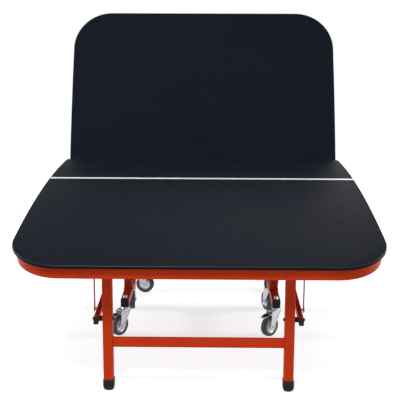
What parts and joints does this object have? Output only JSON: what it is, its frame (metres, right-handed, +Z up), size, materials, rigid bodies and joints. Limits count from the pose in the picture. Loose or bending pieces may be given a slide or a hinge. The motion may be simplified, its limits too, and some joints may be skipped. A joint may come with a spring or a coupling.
{
  "type": "ping pong table",
  "caption": "Arched ball-game table in two wheeled halves: one lies flat on legs, the other is folded up behind it as a rebound wall.",
  "frame": {"origin": "middle of the footprint, on the floor", "axes": "+Z up, +Y from the flat near half towards the raised far half, +X across the table to the right"},
  "size_m": [1.5, 1.969, 1.5643],
  "materials": {
    "board": "satin dark charcoal-blue laminate",
    "line": "white line",
    "frame": "orange powder coat",
    "black": "black moulding",
    "zinc": "zinc plate",
    "tyre": "slate grey tread"
  },
  "bodies": {
    "near_base": {"near_rails": "frame", "near_rail_caps": "black", "near_posts": "frame", "near_cross_tubes": "frame", "near_post_bolts": "zinc", "near_kingpins": "zinc"},
    "near_leaf": {"near_board": "board", "near_line": "line", "near_apron": "frame", "near_beams": "frame", "near_pivot_plates": "frame", "near_leaf_pins": "zinc"},
    "near_leg": {"near_legs": "frame", "near_crossbar": "frame", "near_feet": "black", "near_leg_bolts": "zinc"},
    "near_strut_left": {"near_strut_left": "frame"},
    "near_strut_right": {"near_strut_right": "frame"},
    "near_stay_left": {"near_stay_left": "frame"},
    "near_stay_right": {"near_stay_right": "frame"},
    "far_base": {"far_rails": "frame", "far_rail_caps": "black", "far_posts": "frame", "far_cross_tubes": "frame", "far_post_bolts": "zinc", "far_kingpins": "zinc"},
    "far_leaf": {"far_board": "board", "far_line": "line", "far_apron": "frame", "far_beams": "frame", "far_pivot_plates": "frame", "far_leaf_pins": "zinc"},
    "far_leg": {"far_legs": "frame", "far_crossbar": "frame", "far_feet": "black", "far_leg_bolts": "zinc"},
    "far_strut_left": {"far_strut_left": "frame"},
    "far_strut_right": {"far_strut_right": "frame"},
    "far_stay_left": {"far_stay_left": "frame"},
    "far_stay_right": {"far_stay_right": "frame"},
    "fork_near_outer_left": {"fork_near_outer_left": "zinc"},
    "wheel_near_outer_left": {"wheel_near_outer_left": "tyre"},
    "pedal_near_outer_left": {"pedal_near_outer_left": "zinc"},
    "fork_near_outer_right": {"fork_near_outer_right": "zinc"},
    "wheel_near_outer_right": {"wheel_near_outer_right": "tyre"},
    "pedal_near_outer_right": {"pedal_near_outer_right": "zinc"},
    "fork_near_inner_left": {"fork_near_inner_left": "zinc"},
    "wheel_near_inner_left": {"wheel_near_inner_left": "tyre"},
    "fork_near_inner_right": {"fork_near_inner_right": "zinc"},
    "wheel_near_inner_right": {"wheel_near_inner_right": "tyre"},
    "fork_far_inner_left": {"fork_far_inner_left": "zinc"},
    "wheel_far_inner_left": {"wheel_far_inner_left": "tyre"},
    "fork_far_inner_right": {"fork_far_inner_right": "zinc"},
    "wheel_far_inner_right": {"wheel_far_inner_right": "tyre"},
    "fork_far_outer_left": {"fork_far_outer_left": "zinc"},
    "wheel_far_outer_left": {"wheel_far_outer_left": "tyre"},
    "pedal_far_outer_left": {"pedal_far_outer_left": "zinc"},
    "fork_far_outer_right": {"fork_far_outer_right": "zinc"},
    "wheel_far_outer_right": {"wheel_far_outer_right": "tyre"},
    "pedal_far_outer_right": {"pedal_far_outer_right": "zinc"}
  },
  "joints": [
    {"name": "near_fold", "type": "hinge", "parent": "near_base", "child": "near_leaf", "pos_m": [0, -0.0125, 0.624], "axis": [-1, 0, 0], "range_deg": [0, 78.4]},
    {"name": "near_leg_fold", "type": "hinge", "parent": "near_leaf", "child": "near_leg", "pos_m": [0, -0.8295, 0.55639], "axis": [-1, 0, 0], "range_deg": [-78.4, 0]},
    {"name": "near_strut_left_turn", "type": "hinge", "parent": "near_base", "child": "near_strut_left", "pos_m": [0, -0.0125, 0.37161], "axis": [-1, 0, 0], "range_deg": [0, 78.4]},
    {"name": "near_stay_left_turn", "type": "hinge", "parent": "near_strut_left", "child": "near_stay_left", "pos_m": [0, -0.73981, 0.31142], "axis": [-1, 0, 0], "range_deg": [-78.4, 0]},
    {"name": "near_strut_right_turn", "type": "hinge", "parent": "near_base", "child": "near_strut_right", "pos_m": [0, -0.0125, 0.37161], "axis": [-1, 0, 0], "range_deg": [0, 78.4]},
    {"name": "near_stay_right_turn", "type": "hinge", "parent": "near_strut_right", "child": "near_stay_right", "pos_m": [0, -0.73981, 0.31142], "axis": [-1, 0, 0], "range_deg": [-78.4, 0]},
    {"name": "far_roll", "type": "slide", "parent": "near_base", "child": "far_base", "axis": [0, 1, 0], "range_m": [0, 0.38401]},
    {"name": "far_fold", "type": "hinge", "parent": "far_base", "child": "far_leaf", "pos_m": [0, 0.6755, 0.624], "axis": [1, 0, 0], "range_deg": [-78.4, 0]},
    {"name": "far_leg_fold", "type": "hinge", "parent": "far_leaf", "child": "far_leg", "pos_m": [0, 0.90602, 1.41072], "axis": [1, 0, 0], "range_deg": [0, 78.4]},
    {"name": "far_strut_left_turn", "type": "hinge", "parent": "far_base", "child": "far_strut_left", "pos_m": [0, 0.6755, 0.37161], "axis": [1, 0, 0], "range_deg": [-78.4, 0]},
    {"name": "far_stay_left_turn", "type": "hinge", "parent": "far_strut_left", "child": "far_stay_left", "pos_m": [0, 0.88071, 1.07196], "axis": [1, 0, 0], "range_deg": [0, 78.4]},
    {"name": "far_strut_right_turn", "type": "hinge", "parent": "far_base", "child": "far_strut_right", "pos_m": [0, 0.6755, 0.37161], "axis": [1, 0, 0], "range_deg": [-78.4, 0]},
    {"name": "far_stay_right_turn", "type": "hinge", "parent": "far_strut_right", "child": "far_stay_right", "pos_m": [0, 0.88071, 1.07196], "axis": [1, 0, 0], "range_deg": [0, 78.4]},
    {"name": "swivel_near_outer_left", "type": "hinge", "parent": "near_base", "child": "fork_near_outer_left", "pos_m": [-0.366, -0.1645, 0.1], "axis": [0, 0, 1], "continuous": true},
    {"name": "spin_near_outer_left", "type": "hinge", "parent": "fork_near_outer_left", "child": "wheel_near_outer_left", "pos_m": [-0.39248, -0.19964, 0.05], "axis": [-0.7986, 0.6018, 0], "continuous": true},
    {"name": "brake_near_outer_left", "type": "hinge", "parent": "fork_near_outer_left", "child": "pedal_near_outer_left", "pos_m": [-0.38405, -0.18846, 0.1137], "axis": [0.7986, -0.6018, 0], "range_deg": [0, 8]},
    {"name": "swivel_near_outer_right", "type": "hinge", "parent": "near_base", "child": "fork_near_outer_right", "pos_m": [0.366, -0.1645, 0.1], "axis": [0, 0, 1], "continuous": true},
    {"name": "spin_near_outer_right", "type": "hinge", "parent": "fork_near_outer_right", "child": "wheel_near_outer_right", "pos_m": [0.33489, -0.19561, 0.05], "axis": [-0.7071, 0.7071, 0], "continuous": true},
    {"name": "brake_near_outer_right", "type": "hinge", "parent": "fork_near_outer_right", "child": "pedal_near_outer_right", "pos_m": [0.34479, -0.18571, 0.1137], "axis": [0.7071, -0.7071, 0], "range_deg": [0, 8]},
    {"name": "swivel_near_inner_left", "type": "hinge", "parent": "near_base", "child": "fork_near_inner_left", "pos_m": [-0.366, 0.16051, 0.1], "axis": [0, 0, 1], "continuous": true},
    {"name": "spin_near_inner_left", "type": "hinge", "parent": "fork_near_inner_left", "child": "wheel_near_inner_left", "pos_m": [-0.36984, 0.20434, 0.05], "axis": [0.9962, 0.0872, 0], "continuous": true},
    {"name": "swivel_near_inner_right", "type": "hinge", "parent": "near_base", "child": "fork_near_inner_right", "pos_m": [0.366, 0.16051, 0.1], "axis": [0, 0, 1], "continuous": true},
    {"name": "spin_near_inner_right", "type": "hinge", "parent": "fork_near_inner_right", "child": "wheel_near_inner_right", "pos_m": [0.35095, 0.20185, 0.05], "axis": [0.9397, 0.342, 0], "continuous": true},
    {"name": "swivel_far_inner_left", "type": "hinge", "parent": "far_base", "child": "fork_far_inner_left", "pos_m": [-0.366, 0.5025, 0.1], "axis": [0, 0, 1], "continuous": true},
    {"name": "spin_far_inner_left", "type": "hinge", "parent": "fork_far_inner_left", "child": "wheel_far_inner_left", "pos_m": [-0.32267, 0.49486, 0.05], "axis": [-0.1736, -0.9848, 0], "continuous": true},
    {"name": "swivel_far_inner_right", "type": "hinge", "parent": "far_base", "child": "fork_far_inner_right", "pos_m": [0.366, 0.5025, 0.1], "axis": [0, 0, 1], "continuous": true},
    {"name": "spin_far_inner_right", "type": "hinge", "parent": "fork_far_inner_right", "child": "wheel_far_inner_right", "pos_m": [0.39711, 0.53361, 0.05], "axis": [0.7071, -0.7071, 0], "continuous": true},
    {"name": "swivel_far_outer_left", "type": "hinge", "parent": "far_base", "child": "fork_far_outer_left", "pos_m": [-0.366, 0.8275, 0.1], "axis": [0, 0, 1], "continuous": true},
    {"name": "spin_far_outer_left", "type": "hinge", "parent": "fork_far_outer_left", "child": "wheel_far_outer_left", "pos_m": [-0.35095, 0.86885, 0.05], "axis": [0.9397, -0.342, 0], "continuous": true},
    {"name": "brake_far_outer_left", "type": "hinge", "parent": "fork_far_outer_left", "child": "pedal_far_outer_left", "pos_m": [-0.35574, 0.85569, 0.1137], "axis": [-0.9397, 0.342, 0], "range_deg": [0, 8]},
    {"name": "swivel_far_outer_right", "type": "hinge", "parent": "far_base", "child": "fork_far_outer_right", "pos_m": [0.366, 0.8275, 0.1], "axis": [0, 0, 1], "continuous": true},
    {"name": "spin_far_outer_right", "type": "hinge", "parent": "fork_far_outer_right", "child": "wheel_far_outer_right", "pos_m": [0.35461, 0.87, 0.05], "axis": [0.9659, 0.2588, 0], "continuous": true},
    {"name": "brake_far_outer_right", "type": "hinge", "parent": "fork_far_outer_right", "child": "pedal_far_outer_right", "pos_m": [0.35824, 0.85648, 0.1137], "axis": [-0.9659, -0.2588, 0], "range_deg": [0, 8]}
  ],
  "couplings": [
    {"joint": "near_leg_fold", "follows": "near_fold", "ratio": -1},
    {"joint": "near_strut_left_turn", "follows": "near_fold", "ratio": 1},
    {"joint": "near_stay_left_turn", "follows": "near_fold", "ratio": -1},
    {"joint": "near_strut_right_turn", "follows": "near_fold", "ratio": 1},
    {"joint": "near_stay_right_turn", "follows": "near_fold", "ratio": -1},
    {"joint": "far_roll", "follows": "far_fold", "m_per_rad": -0.28063},
    {"joint": "far_leg_fold", "follows": "far_fold", "ratio": -1},
    {"joint": "far_strut_left_turn", "follows": "far_fold", "ratio": 1},
    {"joint": "far_stay_left_turn", "follows": "far_fold", "ratio": -1},
    {"joint": "far_strut_right_turn", "follows": "far_fold", "ratio": 1},
    {"joint": "far_stay_right_turn", "follows": "far_fold", "ratio": -1}
  ]
}
